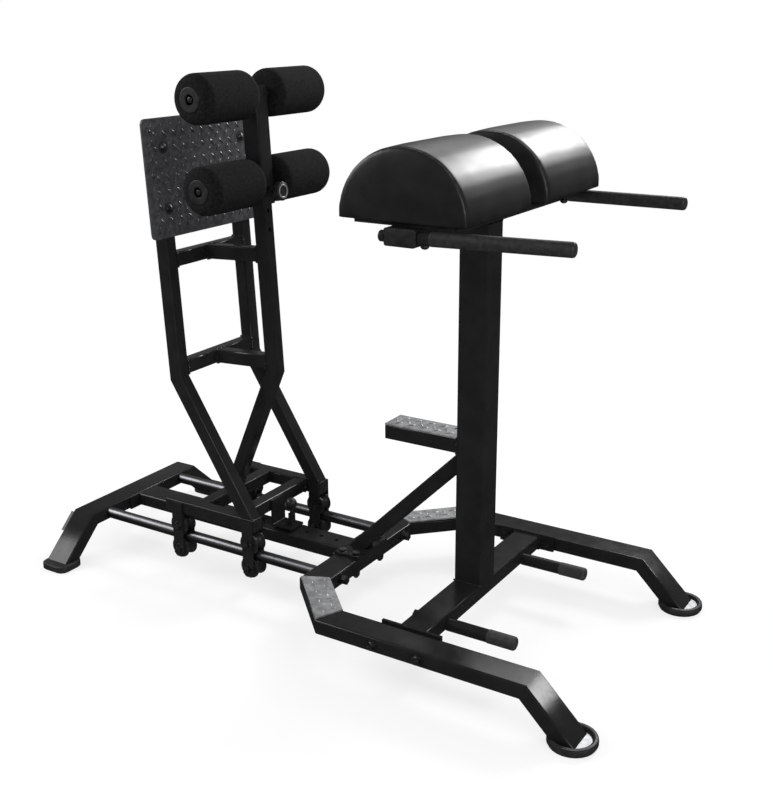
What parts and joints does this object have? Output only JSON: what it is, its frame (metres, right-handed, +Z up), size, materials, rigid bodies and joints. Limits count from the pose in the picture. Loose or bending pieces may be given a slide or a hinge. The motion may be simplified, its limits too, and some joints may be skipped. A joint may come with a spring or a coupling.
{
  "type": "glute ham developer",
  "caption": "Glute ham developer: half-round hip pads and handles on a post, and ankle rollers with a foot plate on a carriage that slides along guide rods.",
  "frame": {"origin": "on the floor under the middle of the overall length, between the feet", "axes": "+X from the ankle rollers towards the hip pads and handles, +Y to the user's left when they face +X, +Z up"},
  "size_m": [1.6895, 0.82, 1.362],
  "materials": {
    "coat": "satin black powder coat",
    "tread": "brushed tread plate",
    "chrome": "polished",
    "steel": "dark zinc",
    "rubber": "matt",
    "plastic": "matt black",
    "foam": "dense black foam",
    "vinyl": "glossy black vinyl",
    "board": "black plywood"
  },
  "bodies": {
    "base": {"front_frame": "coat", "rear_frame": "coat", "main_beam": "coat", "post_frame": "coat", "brace": "coat", "pad_beam": "coat", "step_tread": "tread", "corner_tread_right": "tread", "guide_rod_right": "chrome", "rod_bolt_right": "steel", "front_foot_right": "rubber", "rear_foot_right": "rubber", "band_peg_right": "coat", "handle_right": "coat", "beam_cap_right": "plastic", "hip_pad_right": "vinyl", "pad_board_right": "board", "post_bolt_right_rear": "steel", "post_bolt_right_front": "steel", "corner_tread_left": "tread", "guide_rod_left": "chrome", "rod_bolt_left": "steel", "front_foot_left": "rubber", "rear_foot_left": "rubber", "band_peg_left": "coat", "handle_left": "coat", "beam_cap_left": "plastic", "hip_pad_left": "vinyl", "pad_board_left": "board", "post_bolt_left_rear": "steel", "post_bolt_left_front": "steel"},
    "carriage": {"carriage_frame": "coat", "tower_frame": "coat", "foot_plate": "tread", "roller_bracket_right_rear": "coat", "roller_bracket_right_front": "coat", "foot_plate_bolt_right_lower": "steel", "foot_plate_bolt_right_upper": "steel", "roller_bracket_left_rear": "coat", "roller_bracket_left_front": "coat", "foot_plate_bolt_left_lower": "steel", "foot_plate_bolt_left_upper": "steel"},
    "ankle_carrier": {"ankle_carrier": "coat"},
    "pull_pin": {"pull_pin": "plastic"},
    "pop_pin": {"pop_pin": "plastic"},
    "guide_roller_right_rear_upper": {"guide_roller_right_rear_upper": "plastic"},
    "guide_roller_right_rear_lower": {"guide_roller_right_rear_lower": "plastic"},
    "guide_roller_right_front_upper": {"guide_roller_right_front_upper": "plastic"},
    "guide_roller_right_front_lower": {"guide_roller_right_front_lower": "plastic"},
    "ankle_roller_right_lower": {"ankle_roller_right_lower": "foam"},
    "ankle_roller_right_upper": {"ankle_roller_right_upper": "foam"},
    "guide_roller_left_rear_upper": {"guide_roller_left_rear_upper": "plastic"},
    "guide_roller_left_rear_lower": {"guide_roller_left_rear_lower": "plastic"},
    "guide_roller_left_front_upper": {"guide_roller_left_front_upper": "plastic"},
    "guide_roller_left_front_lower": {"guide_roller_left_front_lower": "plastic"},
    "ankle_roller_left_lower": {"ankle_roller_left_lower": "foam"},
    "ankle_roller_left_upper": {"ankle_roller_left_upper": "foam"}
  },
  "joints": [
    {"name": "carriage_slide", "type": "slide", "parent": "base", "child": "carriage", "axis": [1, 0, 0], "range_m": [-0.2, 0.15]},
    {"name": "guide_roller_right_rear_upper_spin", "type": "hinge", "parent": "carriage", "child": "guide_roller_right_rear_upper", "pos_m": [-0.47402, -0.154, 0.1438], "axis": [0, 1, 0], "continuous": true},
    {"name": "guide_roller_right_rear_lower_spin", "type": "hinge", "parent": "carriage", "child": "guide_roller_right_rear_lower", "pos_m": [-0.47402, -0.154, 0.0762], "axis": [0, 1, 0], "continuous": true},
    {"name": "guide_roller_right_front_upper_spin", "type": "hinge", "parent": "carriage", "child": "guide_roller_right_front_upper", "pos_m": [-0.22902, -0.154, 0.1438], "axis": [0, 1, 0], "continuous": true},
    {"name": "guide_roller_right_front_lower_spin", "type": "hinge", "parent": "carriage", "child": "guide_roller_right_front_lower", "pos_m": [-0.22902, -0.154, 0.0762], "axis": [0, 1, 0], "continuous": true},
    {"name": "guide_roller_left_rear_upper_spin", "type": "hinge", "parent": "carriage", "child": "guide_roller_left_rear_upper", "pos_m": [-0.47402, 0.154, 0.1438], "axis": [0, 1, 0], "continuous": true},
    {"name": "guide_roller_left_rear_lower_spin", "type": "hinge", "parent": "carriage", "child": "guide_roller_left_rear_lower", "pos_m": [-0.47402, 0.154, 0.0762], "axis": [0, 1, 0], "continuous": true},
    {"name": "guide_roller_left_front_upper_spin", "type": "hinge", "parent": "carriage", "child": "guide_roller_left_front_upper", "pos_m": [-0.22902, 0.154, 0.1438], "axis": [0, 1, 0], "continuous": true},
    {"name": "guide_roller_left_front_lower_spin", "type": "hinge", "parent": "carriage", "child": "guide_roller_left_front_lower", "pos_m": [-0.22902, 0.154, 0.0762], "axis": [0, 1, 0], "continuous": true},
    {"name": "pull_pin_slide", "type": "slide", "parent": "carriage", "child": "pull_pin", "axis": [0, 0, 1], "range_m": [-0.014, 0]},
    {"name": "ankle_carrier_slide", "type": "slide", "parent": "carriage", "child": "ankle_carrier", "axis": [-0.0506, 0, 0.9987], "range_m": [-0.1, 0.05]},
    {"name": "pop_pin_slide", "type": "slide", "parent": "ankle_carrier", "child": "pop_pin", "axis": [0.9987, 0, 0.0506], "range_m": [-0.014, 0]},
    {"name": "ankle_roller_right_lower_spin", "type": "hinge", "parent": "ankle_carrier", "child": "ankle_roller_right_lower", "pos_m": [-0.27611, 0, 1.08685], "axis": [0, 1, 0], "continuous": true},
    {"name": "ankle_roller_right_upper_spin", "type": "hinge", "parent": "ankle_carrier", "child": "ankle_roller_right_upper", "pos_m": [-0.28699, 0, 1.30158], "axis": [0, 1, 0], "continuous": true},
    {"name": "ankle_roller_left_lower_spin", "type": "hinge", "parent": "ankle_carrier", "child": "ankle_roller_left_lower", "pos_m": [-0.27611, 0, 1.08685], "axis": [0, 1, 0], "continuous": true},
    {"name": "ankle_roller_left_upper_spin", "type": "hinge", "parent": "ankle_carrier", "child": "ankle_roller_left_upper", "pos_m": [-0.28699, 0, 1.30158], "axis": [0, 1, 0], "continuous": true}
  ],
  "couplings": [
    {"joint": "guide_roller_right_rear_upper_spin", "follows": "carriage_slide", "rad_per_m": 55.556},
    {"joint": "guide_roller_right_rear_lower_spin", "follows": "carriage_slide", "rad_per_m": -55.556},
    {"joint": "guide_roller_right_front_upper_spin", "follows": "carriage_slide", "rad_per_m": 55.556},
    {"joint": "guide_roller_right_front_lower_spin", "follows": "carriage_slide", "rad_per_m": -55.556},
    {"joint": "guide_roller_left_rear_upper_spin", "follows": "carriage_slide", "rad_per_m": 55.556},
    {"joint": "guide_roller_left_rear_lower_spin", "follows": "carriage_slide", "rad_per_m": -55.556},
    {"joint": "guide_roller_left_front_upper_spin", "follows": "carriage_slide", "rad_per_m": 55.556},
    {"joint": "guide_roller_left_front_lower_spin", "follows": "carriage_slide", "rad_per_m": -55.556}
  ]
}
